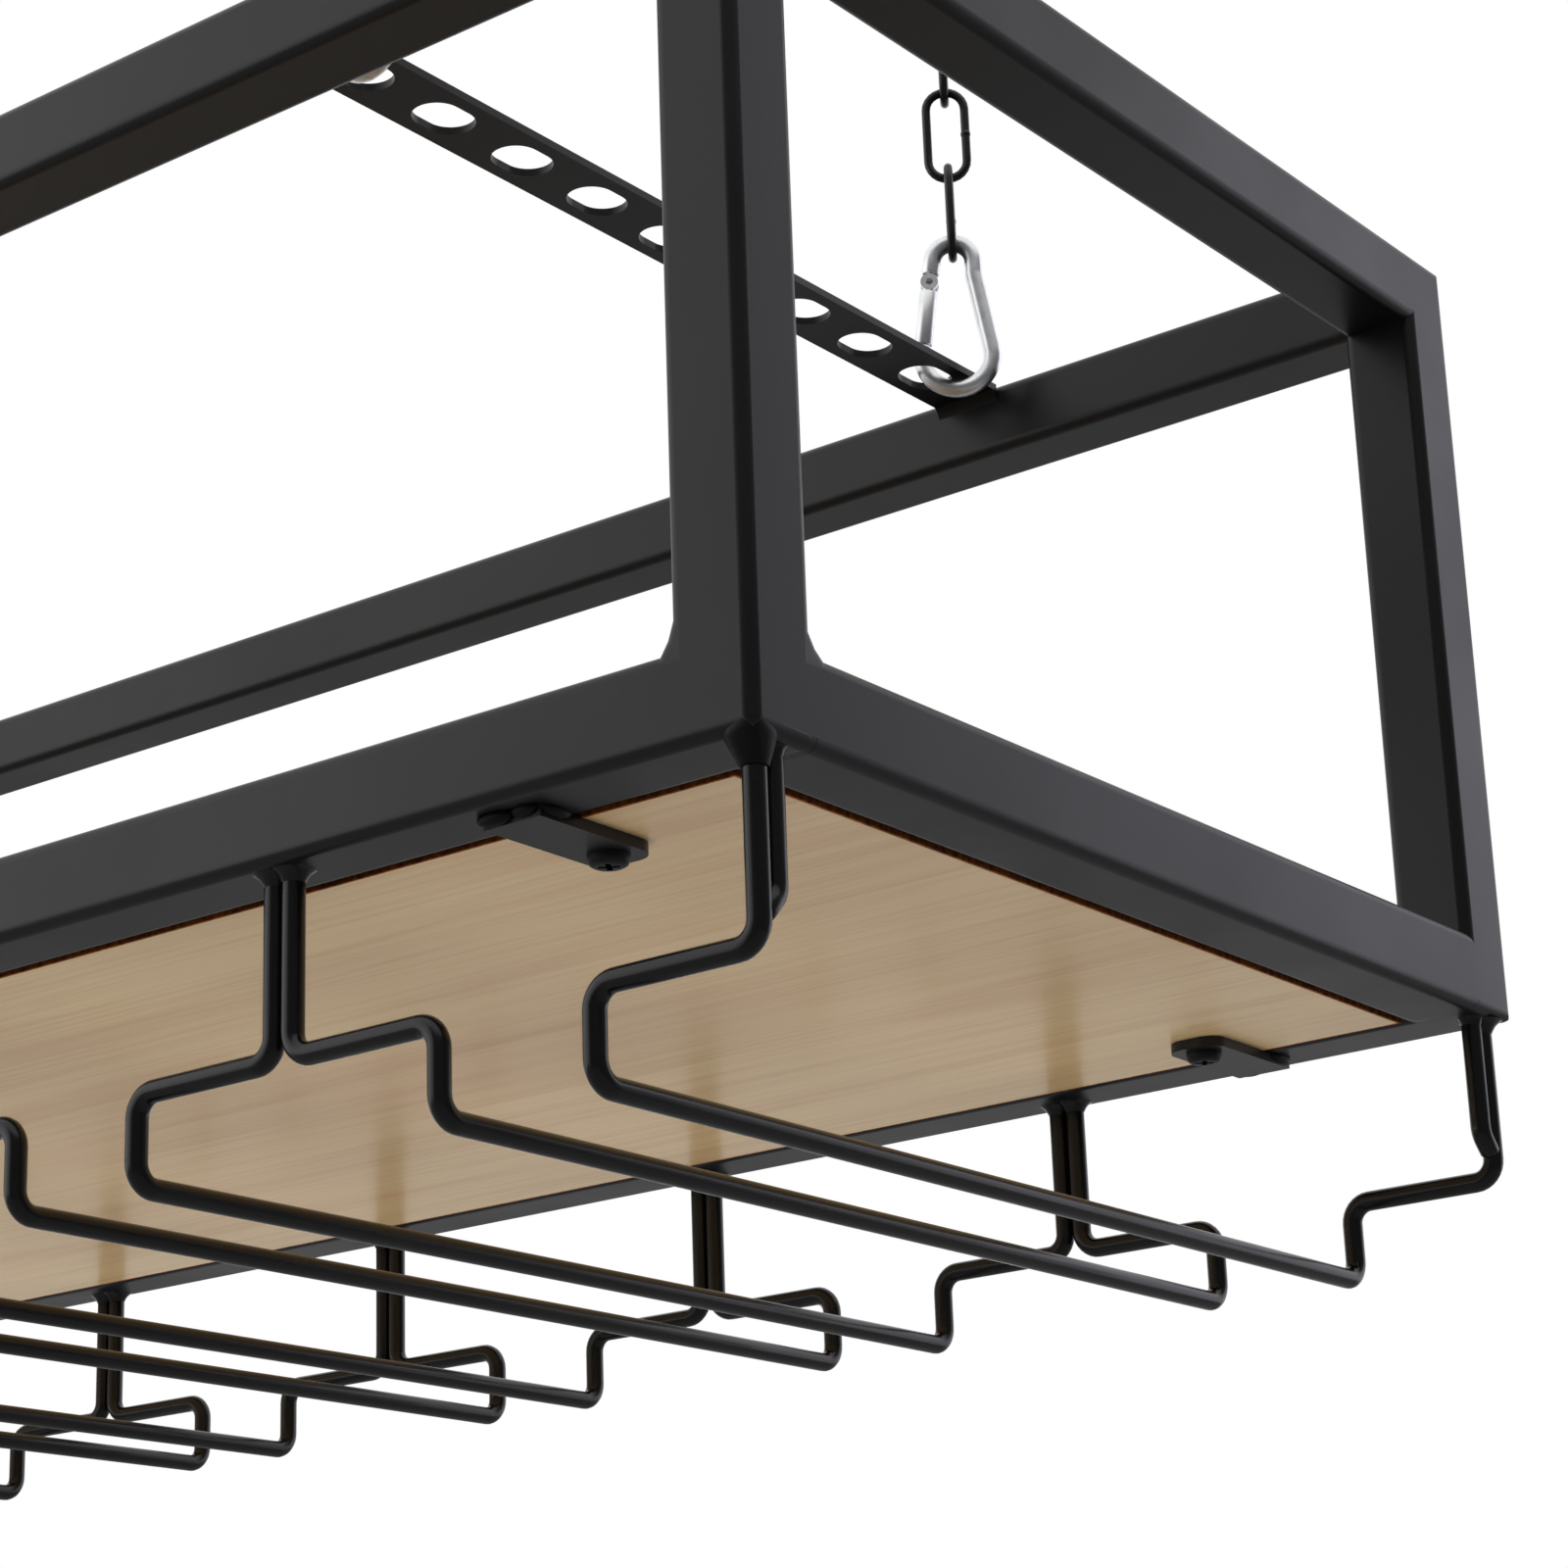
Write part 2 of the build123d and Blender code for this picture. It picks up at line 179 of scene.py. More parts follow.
# Bright zinc plate: a pale soft mirror, slightly blotched, with a fine speckle in its shine
zinc = {"pale": "f4f5f6", "dull": "e4e6e9", "roughness": 0.32, "blotchMm": 5.0, "scratchMm": 0.4}
brightZinc, tree, shader, coords = newMaterial("brightZincPlate", Metallic=1.0, Roughness=zinc["roughness"])
blotch = addNode(tree, "ShaderNodeTexNoise", {"Scale": 1 / (zinc["blotchMm"] * mm), "Detail": 3.0},
                 {"Vector": coords})
plate = addNode(tree, "ShaderNodeValToRGB", links={"Fac": blotch.outputs["Fac"]})
setRamp(plate, [(0.35, zinc["dull"]), (0.6, zinc["pale"])])
tree.links.new(plate.outputs["Color"], shader.inputs["Base Color"])
scratch = addNode(tree, "ShaderNodeTexNoise", {"Scale": 1 / (zinc["scratchMm"] * mm), "Detail": 2.0},
                  {"Vector": coords})
shine = addNode(tree, "ShaderNodeMapRange", {"To Min": zinc["roughness"] - 0.06, "To Max": zinc["roughness"] + 0.1},
                {"Value": scratch.outputs["Fac"]})
tree.links.new(shine.outputs["Result"], shader.inputs["Roughness"])
print("materials made")


def onlyVerts(items):
    return [item for item in items if isinstance(item, bmesh.types.BMVert)]


def paint(piece, material):
    piece.data.materials.clear()
    piece.data.materials.append(material)


def makePiece(bm, name, material, body, replaced=()):
    bmesh.ops.remove_doubles(bm, verts=bm.verts, dist=mergeDistance * mm)
    bmesh.ops.recalc_face_normals(bm, faces=bm.faces)
    mesh = bpy.data.meshes.new(name)
    bm.to_mesh(mesh)
    bm.free()
    mesh.shade_smooth()
    mesh.set_sharp_from_angle(angle=math.radians(sharpAngle))
    piece = bpy.data.objects.new(name, mesh)
    bpy.context.scene.collection.objects.link(piece)
    paint(piece, material)
    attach(piece, body)
    if replaced:
        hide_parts(*replaced)
    return piece


def bentWire(bm, corners, bends, radius, ringSides=16, bendSteps=8):
    # a ring is pushed along each run and spun round each bend; bends has one radius per inner corner
    points = [Vector(corner) * mm for corner in corners]
    heading = (points[1] - points[0]).normalized()
    place = Matrix.Translation(points[0]) @ heading.to_track_quat("Z", "Y").to_matrix().to_4x4()
    ring = bmesh.ops.create_circle(bm, cap_ends=False, segments=ringSides, radius=radius * mm, matrix=place)
    edges = list({edge for vert in ring["verts"] for edge in vert.link_edges})
    firstRing, here = edges, points[0]
    for index in range(1, len(points)):
        inner = index + 1 < len(points)
        newHeading = (points[index + 1] - points[index]).normalized() if inner else heading
        angle = heading.angle(newHeading) if inner else 0.0
        bend = bends[index - 1] * mm if inner else 0.0
        stop = points[index] - heading * bend * math.tan(angle / 2)
        if (stop - here).length > 0.01 * mm:
            pushed = bmesh.ops.extrude_edge_only(bm, edges=edges)["geom"]
            fresh = set(onlyVerts(pushed))
            bmesh.ops.translate(bm, verts=list(fresh), vec=stop - here)
            edges = [item for item in pushed if isinstance(item, bmesh.types.BMEdge) and set(item.verts) <= fresh]
        if angle > 0.001:
            axis = heading.cross(newHeading).normalized()
            centre = stop + axis.cross(heading) * bend
            spun = bmesh.ops.spin(bm, geom=edges, cent=centre, axis=axis, angle=angle, steps=bendSteps)
            edges = [item for item in spun["geom_last"] if isinstance(item, bmesh.types.BMEdge)]
        here = points[index] + newHeading * bend * math.tan(angle / 2)
        heading = newHeading
    return firstRing, edges


def roundEdges(bm, edges, radius, segments):
    bmesh.ops.bevel(bm, geom=edges, offset=radius * mm, offset_type="OFFSET", segments=segments, profile=0.5,
                    affect="EDGES", material=-1)


def capWire(bm, rings, inset):
    # closes a wire's cut ends and breaks their rims
    for ring in rings:
        cap = bmesh.ops.edgeloop_fill(bm, edges=ring)["faces"]
        rim = [edge for face in cap for edge in face.edges]
        roundEdges(bm, rim, inset, 2)


def latheAt(bm, profile, place, steps=24):
    # spins (radius, height) points round the place's own Z
    verts = [bm.verts.new(place @ Vector((r * mm, 0, z * mm))) for r, z in profile]
    edges = [bm.edges.new(pair) for pair in zip(verts, verts[1:])]
    axis = (place.to_3x3() @ Vector((0, 0, 1))).normalized()
    bmesh.ops.spin(bm, geom=verts + edges, cent=place.translation, axis=axis, angle=2 * math.pi, steps=steps,
                   use_merge=True)


# The frame, board, tabs and straps keep their CAD shapes
rackNodes = frame["record"]["behaviour"]["bodies"]["rack"]
for name in rackNodes:
    paint(nodes[name], oakLaminate if name == "shelf_board" else blackFrame)
for corner in (f"{face}_{side}" for face in faces for side in sides):
    paint(nodes[f"{corner}_gate_pin"], brightZinc)

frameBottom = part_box("front_bottom_rail")[0].z / mm
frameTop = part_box("front_top_rail")[1].z / mm
rackHalf = {"x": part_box("front_right_upright")[1].x / mm, "y": -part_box("front_right_upright")[0].y / mm}

# Edge tape round the board's four sides, as high as the board
boardLow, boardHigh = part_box("shelf_board")
boardMiddle, boardSize = (boardLow + boardHigh) / 2, boardHigh - boardLow
outer = Matrix.Diagonal((boardSize.x + 2 * tape["thickness"] * mm, boardSize.y + 2 * tape["thickness"] * mm, 1, 1))
bm = bmesh.new()
bmesh.ops.create_grid(bm, x_segments=1, y_segments=1, size=0.5, matrix=outer)
inner = list(bm.faces)
bmesh.ops.inset_region(bm, faces=inner, thickness=tape["thickness"] * mm, use_boundary=True, use_even_offset=True)
bmesh.ops.delete(bm, geom=inner, context="FACES_ONLY")
drawn = bmesh.ops.extrude_face_region(bm, geom=list(bm.faces))["geom"]
bmesh.ops.translate(bm, verts=onlyVerts(drawn), vec=(0, 0, boardSize.z))
bmesh.ops.translate(bm, verts=bm.verts, vec=(boardMiddle.x, boardMiddle.y, boardLow.z))
makePiece(bm, "boardEdgeTape", brownTape, "rack")

# Glass hangers, 5 mm wire bent down, out, down and back
hanger = {"wire": 5.0, "inset": 7.0, "endInset": 5.5, "pairGap": 0.2, "runOffset": 43.0, "armDrop": 40.0,
          "runDrop": 59.66, "bend": 5.2, "slots": 8}
hangerY = rackHalf["y"] - hanger["inset"]
firstWireX = rackHalf["x"] - hanger["endInset"]
slotPitch = 2 * firstWireX / hanger["slots"]
pairOffset = (hanger["wire"] + hanger["pairGap"]) / 2


def hangerWire(bm, dropX, runX):
    half = [(dropX, 0), (dropX, -hanger["armDrop"]), (runX, -hanger["armDrop"]), (runX, -hanger["runDrop"])]
    route = [(x, -hangerY, frameBottom + z) for x, z in half]
    route += [(x, hangerY, frameBottom + z) for x, z in reversed(half)]
    for ring in bentWire(bm, route, [hanger["bend"]] * 6, hanger["wire"] / 2):
        bmesh.ops.edgeloop_fill(bm, edges=ring)


wireTops = []
for number in range(1, hanger["slots"]):
    pairX = firstWireX - number * slotPitch
    bm = bmesh.new()
    for side in sides.values():
        hangerWire(bm, pairX + side * pairOffset, pairX + side * hanger["runOffset"])
        wireTops += [(pairX + side * pairOffset, face * hangerY, "pair") for face in faces.values()]
    makePiece(bm, f"glassHanger{number}", blackWire, "rack", [f"glass_hanger_{number}"])

# End hangers, each with a short brace wire whose foot is bent over to the hanger
brace = {"gap": 0.3, "drop": 36.0, "footBend": 5.0, "footReach": 4.2, "tipRim": 0.6}
for sideName, side in sides.items():
    wireX = side * firstWireX
    bm = bmesh.new()
    hangerWire(bm, wireX, side * (firstWireX - hanger["runOffset"] + pairOffset))
    makePiece(bm, f"{sideName}EndHanger", blackWire, "rack", [f"{sideName}_end_hanger"])
    braceY = hangerY - hanger["wire"] - brace["gap"]
    bm = bmesh.new()
    for face in faces.values():
        foot = frameBottom - brace["drop"] + hanger["wire"] / 2
        route = [(wireX, face * braceY, frameBottom), (wireX, face * braceY, foot + brace["footReach"]),
                 (wireX, face * (braceY + brace["footReach"]), foot)]
        top, tip = bentWire(bm, route, [brace["footBend"]], hanger["wire"] / 2)
        bmesh.ops.edgeloop_fill(bm, edges=top)
        capWire(bm, [tip], brace["tipRim"])
        wireTops += [(wireX, face * braceY, "brace")]
    wireTops += [(wireX, hangerY, "backCorner")]
    makePiece(bm, f"{sideName}HangerBraces", blackWire, "rack", [f"{sideName}_hanger_braces"])
print("hangers bent")

# Weld flares where each wire meets the underside of a rail; the curve goes down a weld in shares of its reach and
# its height
flareCurve = ((0.8, 0.08), (0.4, 0.35), (0.12, 0.7))
flares = {"pair": {"height": 3.2, "reach": 2.3}, "backCorner": {"height": 3.8, "reach": 2.9},
          "brace": {"height": 2.4, "reach": 0.8}}
flareSink = 0.2
wireRadius = hanger["wire"] / 2
bm = bmesh.new()
for x, y, kind in wireTops:
    place = Matrix.Translation(Vector((x, y, frameBottom)) * mm)
    flare = flares[kind]
    rim, core = (wireRadius + flare["reach"], 0.0), wireRadius - flareSink
    profile = [(wireRadius + flare["reach"] * out, -flare["height"] * down) for out, down in flareCurve]
    latheAt(bm, [rim] + profile + [(core, -flare["height"]), (core, 0.0), rim], place, 24)
makePiece(bm, "wireWelds", blackWire, "rack")

# Screws: low pan heads with a cross recess
screw = {"head": 9.0, "headHeight": 2.5, "shank": 4.0, "length": 14.0, "tab": 2.5, "recess": 4.6,
         "recessWidth": 1.2, "recessDepth": 1.5, "recessTurn": 33.0, "inset": 38.0, "tipWidth": 0.4, "tipHeight": 0.8}
# the head's rounded rim, as (inset from its edge, share of its height)
screwRim = ((0.0, 0.0), (0.0, 0.45), (0.35, 0.78), (1.1, 0.96), (2.0, 1.0))
screwX = firstWireX - slotPitch / 2
screwY = rackHalf["y"] - screw["inset"]
bm = bmesh.new()
cutter = bmesh.new()
for x in (-screwX, screwX):
    for y in (-screwY, screwY):
        place = Matrix.Translation(Vector((x, y, frameBottom - screw["tab"])) * mm)
        low, half, shank, tip = -screw["headHeight"], screw["head"] / 2, screw["shank"] / 2, screw["length"]
        profile = [(0, tip), (shank - screw["tipWidth"], tip), (shank, tip - screw["tipHeight"]), (shank, 0.0)]
        profile += [(half - inset, low * share) for inset, share in screwRim]
        latheAt(bm, profile + [(0, low)], place, 32)
        for size in ((screw["recess"], screw["recessWidth"]), (screw["recessWidth"], screw["recess"])):
            slotSize = Matrix.Diagonal((size[0] * mm, size[1] * mm, 2 * screw["recessDepth"] * mm, 1))
            turned = Matrix.Rotation(math.radians(screw["recessTurn"]), 4, "Z")
            slotPlace = place @ Matrix.Translation((0, 0, low * mm)) @ turned @ slotSize
            bmesh.ops.create_cube(cutter, size=1, matrix=slotPlace)
screws = makePiece(bm, "boardScrews", blackScrew, "rack", ["board_screws"])
cutterMesh = bpy.data.meshes.new("crossCutter")
cutter.to_mesh(cutterMesh)
cutter.free()
cutterPiece = bpy.data.objects.new("crossCutter", cutterMesh)
bpy.context.scene.collection.objects.link(cutterPiece)
recess = screws.modifiers.new("recess", "BOOLEAN")
recess.object = cutterPiece
recess.use_self = True
cutMesh = bpy.data.meshes.new_from_object(screws.evaluated_get(bpy.context.evaluated_depsgraph_get()))
screws.modifiers.remove(recess)
screws.data = cutMesh
bpy.data.objects.remove(cutterPiece)
print("screws driven")

# Welds: gussets in the lower front corners, butt joints filled flush, tab roots and strap ends
weld = {"tube": 20.0, "round": 2.7, "roundSteps": 5, "sink": 0.02, "overlap": 0.6, "tabWidth": 15.0,
        "tabRootInset": 8.0, "strapInset": 140.0, "strapWidth": 20.0, "strapThickness": 2.0, "strapReach": 2.0,
        "strapDrop": 3.2, "hollow": 0.36}
gusset = {"frontRun": 3.2, "frontRise": 6.5, "endRun": 4.3, "endRise": 4.6, "root": 5.0, "hollow": 0.42}


def filletBar(bm, start, along, length, legA, legB):
    # a concave corner bead: legs along two faces, drawn out along the joint
    start, along = Vector(start) * mm, Vector(along)
    legA, legB = Vector(legA) * mm, Vector(legB) * mm
    hollow = (legA + legB) * weld["hollow"]
    corner = [start, start + legA, start + hollow, start + legB]
    verts = [bm.verts.new(point) for point in corner]
    face = bm.faces.new(verts)
    pushed = bmesh.ops.extrude_face_region(bm, geom=[face])["geom"]
    bmesh.ops.translate(bm, verts=onlyVerts(pushed), vec=along * length * mm)


def cornerGusset(bm, corner, inward, run, rise, across):
    # fills an inner corner flush with the tube's faces: a plate as thick as the tube, its open edges rounded
    corner, inward, across, up = Vector(corner), Vector(inward), Vector(across), Vector((0, 0, 1))
    root = gusset["root"]
    rim = [corner + inward * run, corner + (inward * run + up * rise) * gusset["hollow"], corner + up * rise]
    shape = [rim[0] - up * root] + rim + [rim[2] - inward * root, corner - inward * root - up * root]
    verts = [bm.verts.new((point + across * weld["sink"]) * mm) for point in shape]
    pushed = bmesh.ops.extrude_face_region(bm, geom=[bm.faces.new(verts)])["geom"]
    far = onlyVerts(pushed)
    bmesh.ops.translate(bm, verts=far, vec=across * (weld["tube"] - 2 * weld["sink"]) * mm)
    onRim = {v for v in verts + far if any((v.co / mm - point).cross(across).length < 0.05 for point in rim)}
    sharp = [edge for edge in {e for v in onRim for e in v.link_edges}
             if set(edge.verts) <= onRim and abs((edge.verts[0].co - edge.verts[1].co).dot(across)) < 0.1 * mm]
    roundEdges(bm, sharp, weld["round"], weld["roundSteps"])


def lump(bm, centre, size):
    shape = Matrix.Translation(Vector(centre) * mm) @ Matrix.Diagonal([s * mm for s in size] + [1])
    bmesh.ops.create_icosphere(bm, subdivisions=3, radius=1, matrix=shape)


bm = bmesh.new()
inX, inY = rackHalf["x"] - weld["tube"], rackHalf["y"] - weld["tube"]
railTop = frameBottom + weld["tube"]
for side in sides.values():
    # the lower front corners, between upright and long rail and between upright and end rail
    cornerGusset(bm, (side * inX, -rackHalf["y"], railTop), (-side, 0, 0), gusset["frontRun"], gusset["frontRise"],
                 (0, 1, 0))
    cornerGusset(bm, (side * rackHalf["x"], -inY, railTop), (0, 1, 0), gusset["endRun"], gusset["endRise"],
                 (-side, 0, 0))
    for face in faces.values():
        for level in (frameBottom, frameTop - weld["tube"]):
            # the end rail's butt joint, filled flush all round
            flush, halfTube = weld["tube"] - 2 * weld["sink"], weld["tube"] / 2
            middle = Vector((side * (rackHalf["x"] - halfTube), face * (inY + weld["round"] / 2), level + halfTube))
            size = Matrix.Diagonal((flush * mm, (weld["round"] + weld["overlap"]) * mm, flush * mm, 1))
            stub = bmesh.ops.create_cube(bm, size=1, matrix=Matrix.Translation(middle * mm) @ size)
            along = {edge for vert in stub["verts"] for edge in vert.link_edges
                     if abs((edge.verts[0].co - edge.verts[1].co).normalized().y) > 0.9}
            roundEdges(bm, list(along), weld["round"], weld["roundSteps"])
makePiece(bm, "frameWelds", blackFrame, "rack")

# The two bottom front corners: one full bead that wraps the rounded corner and runs down onto the hanger wire
cornerBead = {"insetX": 5.2, "insetY": 5.6, "radiusX": 5.1, "radiusY": 5.5, "height": 3.4, "rise": 0.9,
              "noseInset": 2.6, "noseRadius": 2.58, "noseHeight": 3.4, "noseRise": 2.4, "drop": 5.2, "footRadius": 2.9}
for sideName, side in sides.items():
    bm = bmesh.new()
    beadX, beadY = side * (rackHalf["x"] - cornerBead["insetX"]), cornerBead["insetY"] - rackHalf["y"]
    lump(bm, (beadX, beadY, frameBottom + cornerBead["rise"]),
         (cornerBead["radiusX"], cornerBead["radiusY"], cornerBead["height"]))
    noseX, noseY = side * (rackHalf["x"] - cornerBead["noseInset"]), cornerBead["noseInset"] - rackHalf["y"]
    lump(bm, (noseX, noseY, frameBottom + cornerBead["noseRise"]),
         (cornerBead["noseRadius"], cornerBead["noseRadius"], cornerBead["noseHeight"]))
    foot = Matrix.Translation(Vector((side * firstWireX, -hangerY, frameBottom - cornerBead["drop"])) * mm)
    bmesh.ops.create_circle(bm, segments=32, radius=cornerBead["footRadius"] * mm, matrix=foot)
    bmesh.ops.delete(bm, geom=list(bm.faces), context="FACES_ONLY")
    hull = bmesh.ops.convex_hull(bm, input=list(bm.verts))
    spare = set(onlyVerts(hull["geom_interior"] + hull["geom_unused"]))
    bmesh.ops.delete(bm, geom=list(spare), context="VERTS")
    loose = [edge for edge in bm.edges if not edge.link_faces]
    bmesh.ops.delete(bm, geom=loose, context="EDGES")
    makePiece(bm, f"front{sideName.capitalize()}CornerBead", weldPaintedShade, "rack")

# Tab welds: two beads across the root and one along each side, each as (along, outward, up) and its half sizes
tabBeads = [((-4.0, 0.4, -0.7), (4.6, 2.2, 1.8)), ((3.6, 0.2, -0.4), (3.4, 1.6, 1.6))]
tabBeads += [((hand * weld["tabWidth"] / 2, -4.6, -0.2), (1.5, 4.6, 1.7)) for hand in (-1, 1)]
bm = bmesh.new()
for x in (-screwX, screwX):
    for face in faces.values():
        rootY = face * (rackHalf["y"] - weld["tabRootInset"])
        for (along, out, up), size in tabBeads:
            lump(bm, (x + along, rootY + face * out, frameBottom + up), size)
# a hollow bead under each strap end
for side in sides.values():
    strapX = side * (rackHalf["x"] - weld["strapInset"])
    for face in faces.values():
        filletBar(bm, (strapX - weld["strapWidth"] / 2, face * inY, frameTop - weld["strapThickness"]), (1, 0, 0),
                  weld["strapWidth"], (0, -face * weld["strapReach"], 0), (0, 0, -weld["strapDrop"]))
makePiece(bm, "tabAndStrapWelds", weldPaintedShade, "rack")
print("welds laid")

# Chains, snap hooks and ceiling hooks, one set per corner
chain = {"wire": 2.5, "inner": 25.0, "width": 13.5, "gap": 0.4, "links": 4, "weldRadius": 1.45, "weldHalf": 1.6}
snap = {"wire": 5.0, "height": 50.0, "width": 25.0, "neck": 17.0, "frontTurn": 5.0, "backTurn": 33.0,
        "gateBottom": 13.5, "gateGap": 0.4, "gateRim": 0.5, "cheek": 2.5, "pinHeight": 32.5, "tongue": 1.6,
        "tongueGap": 0.3, "tongueRadius": 1.8, "tongueLength": 6.6, "tongueRise": 1.5, "rim": 0.7, "pinchDrop": 4.0,
        "pinchDepth": 1.0, "pinchBend": 6.0, "shoulder": 0.5}
hook = {"wire": 5.0, "ring": 9.0, "neck": 5.0, "neckBend": 1.2, "shoulderShare": 0.98, "tipShare": 0.35, "rim": 0.8,
        "collar": 24.0, "collarHeight": 3.0, "collarRim": 0.5}
stud = {"radius": 3.0, "length": 40.0, "sink": 0.2, "coreDepth": 0.4, "relief": 1.6, "threadStart": 2.0,
        "threadStop": 38.0, "threadStep": 0.5, "crest": 0.05, "threadDepth": 0.35, "tip": 1.0}
linkReach = chain["inner"] + chain["wire"]
linkStep = linkReach - chain["wire"] - chain["gap"]
linkHalf = (chain["width"] - chain["wire"]) / 2
hookSeat = -(hook["collarHeight"] + hook["neck"] + 2 * hook["ring"])
firstTop = hookSeat + (hook["wire"] + chain["wire"]) / 2 + chain["gap"]
lastBottom = firstTop - linkReach - (chain["links"] - 1) * linkStep
snapTop = lastBottom + (chain["wire"] + snap["wire"]) / 2 + chain["gap"]
snapBottom = snapTop - (snap["height"] - snap["wire"])
bow, neck = (snap["width"] - snap["wire"]) / 2, (snap["neck"] - snap["wire"]) / 2
bowZ, neckZ = snapBottom + bow, snapTop - neck
lean = math.asin((bow - neck) / (neckZ - bowZ))
pinZ = snapBottom + snap["pinHeight"]


def legX(z):
    return bow * math.cos(lean) - (z - bowZ - bow * math.sin(lean)) * math.tan(lean)


for sideName, side in sides.items():
    for faceName, face in faces.items():
        corner = f"{faceName}_{sideName}"
        label = faceName + sideName.capitalize()
        spot = Vector(joints[f"{corner}_swing_along"]["pos_m"]) / mm
        turn = math.radians(snap[f"{faceName}Turn"])
        outward = Vector((side * math.cos(turn), face * math.sin(turn), 0))
        across = Vector((0, 0, 1)).cross(outward)

        def local(x, y, z):
            return Vector((spot.x, spot.y, z)) + outward * x + across * y

        def linkLoop(bm, number):
            # one closed link, started half way up a side
            upper = firstTop - number * linkStep
            rect = [(1, -linkReach / 2), (1, 0), (-1, 0), (-1, -linkReach), (1, -linkReach), (1, -linkReach / 2)]
            flat = [(w * linkHalf, upper + drop) for w, drop in rect]
            facing = outward if number % 2 == 0 else across
            route = [Vector((spot.x, spot.y, z)) + facing * w for w, z in flat]
            bentWire(bm, route, [linkHalf] * 4, chain["wire"] / 2, 12, 6)
            lump(bm, route[0], (chain["weldRadius"], chain["weldRadius"], chain["weldHalf"]))

        bm = bmesh.new()
        linkLoop(bm, 0)
        makePiece(bm, f"{label}TopLink", blackChain, f"{corner}_upper_chain", [f"{corner}_top_link"])
        bm = bmesh.new()
        for number in range(1, chain["links"]):
            linkLoop(bm, number)
        makePiece(bm, f"{label}ChainLinks", blackChain, f"{corner}_lower_chain", [f"{corner}_chain_links"])

        # snap hook body, with a slight pinch in the neck
        noseZ = snapBottom + snap["gateBottom"]
        tongueTop = pinZ + snap["cheek"] + snap["gateGap"]
        pinchZ = neckZ - snap["pinchDrop"]
        route = [(-legX(noseZ), noseZ), (-legX(snapBottom), snapBottom), (legX(snapBottom), snapBottom),
                 (legX(pinchZ) - snap["pinchDepth"], pinchZ), (legX(snapTop) + snap["shoulder"], snapTop),
                 (-legX(snapTop), snapTop), (-legX(tongueTop), tongueTop)]
        bends = [bow, bow, snap["pinchBend"], neck, neck]
        bm = bmesh.new()
        rings = bentWire(bm, [local(x, 0, z) for x, z in route], bends, snap["wire"] / 2, 20, 10)
        capWire(bm, rings, snap["rim"])
        pin = local(-legX(pinZ), 0, pinZ)
        legUp = (local(-legX(neckZ), 0, neckZ) - pin).normalized()
        legOut = legUp.cross(across)
        basis = Matrix((legOut, across, legUp)).transposed().to_4x4()
        pinPlace = Matrix.Translation(pin * mm) @ basis
        tongueSize = Matrix.Diagonal((2 * snap["tongueRadius"] * mm, snap["tongue"] * mm, snap["tongueLength"] * mm, 1))
        tonguePlace = pinPlace @ Matrix.Translation((0, 0, snap["tongueRise"] * mm)) @ tongueSize
        bmesh.ops.create_cube(bm, size=1, matrix=tonguePlace)
        makePiece(bm, f"{label}SnapHook", brightZinc, f"{corner}_snap", [f"{corner}_snap_hook"])

        # gate: a short rod with two cheeks that straddle the tongue
        footZ = noseZ + snap["gateGap"]
        bm = bmesh.new()
        rodTop = pin - legUp * (snap["tongueRadius"] + snap["tongueGap"])
        rings = bentWire(bm, [rodTop, local(-legX(footZ), 0, footZ)], [], snap["wire"] / 2, 20)
        capWire(bm, rings, snap["gateRim"])
        plate = (snap["wire"] - snap["tongue"]) / 2 - snap["tongueGap"]
        for hand in (-1, 1):
            offset = hand * (snap["tongue"] / 2 + snap["tongueGap"] + plate / 2)
            facing = pinPlace @ Matrix.Translation((0, offset * mm, 0)) @ Matrix.Rotation(math.pi / 2, 4, "X")
            cheek = snap["cheek"] * mm
            bmesh.ops.create_cone(bm, cap_ends=True, segments=24, radius1=cheek, radius2=cheek, depth=plate * mm,
                                  matrix=facing)
        makePiece(bm, f"{label}SnapGate", brightZinc, f"{corner}_gate", [f"{corner}_snap_gate"])

        # ceiling hook: ring of bent wire under a six-sided collar, with a threaded stud above
        radius = hook["ring"]
        ringZ = hookSeat + radius
        loop = [local(0, 0, -hook["collarHeight"]), local(0, 0, ringZ + radius), local(0, radius, ringZ + radius),
                local(0, radius, ringZ - radius), local(0, -radius, ringZ - radius),
                local(0, -radius, ringZ + radius * hook["tipShare"])]
        bends = [hook["neckBend"], radius * hook["shoulderShare"], radius, radius]
        bm = bmesh.new()
        rings = bentWire(bm, loop, bends, hook["wire"] / 2, 16, 8)
        bmesh.ops.edgeloop_fill(bm, edges=rings[0])
        capWire(bm, rings[1:], hook["rim"])
        collarPlace = Matrix.Translation(local(0, 0, -hook["collarHeight"] / 2) * mm)
        collarPlace = collarPlace @ outward.to_track_quat("X", "Z").to_matrix().to_4x4()
        collarRadius = hook["collar"] / 2 * mm
        collar = bmesh.ops.create_cone(bm, cap_ends=True, segments=6, radius1=collarRadius, radius2=collarRadius,
                                       depth=hook["collarHeight"] * mm, matrix=collarPlace)
        rims = list({edge for vert in collar["verts"] for edge in vert.link_edges})
        roundEdges(bm, rims, hook["collarRim"], 2)
        core, crest = stud["radius"] - stud["coreDepth"], stud["radius"] - stud["crest"]
        turns = range(int((stud["threadStop"] - stud["threadStart"]) / stud["threadStep"]))
        profile = [(0, -stud["sink"]), (core, -stud["sink"]), (core, stud["relief"])]
        profile += [(crest - stud["threadDepth"] * (step % 2), stud["threadStart"] + step * stud["threadStep"])
                    for step in turns]
        profile += [(stud["radius"] - stud["tip"], stud["length"]), (0, stud["length"])]
        latheAt(bm, profile, Matrix.Translation(local(0, 0, 0) * mm), 20)
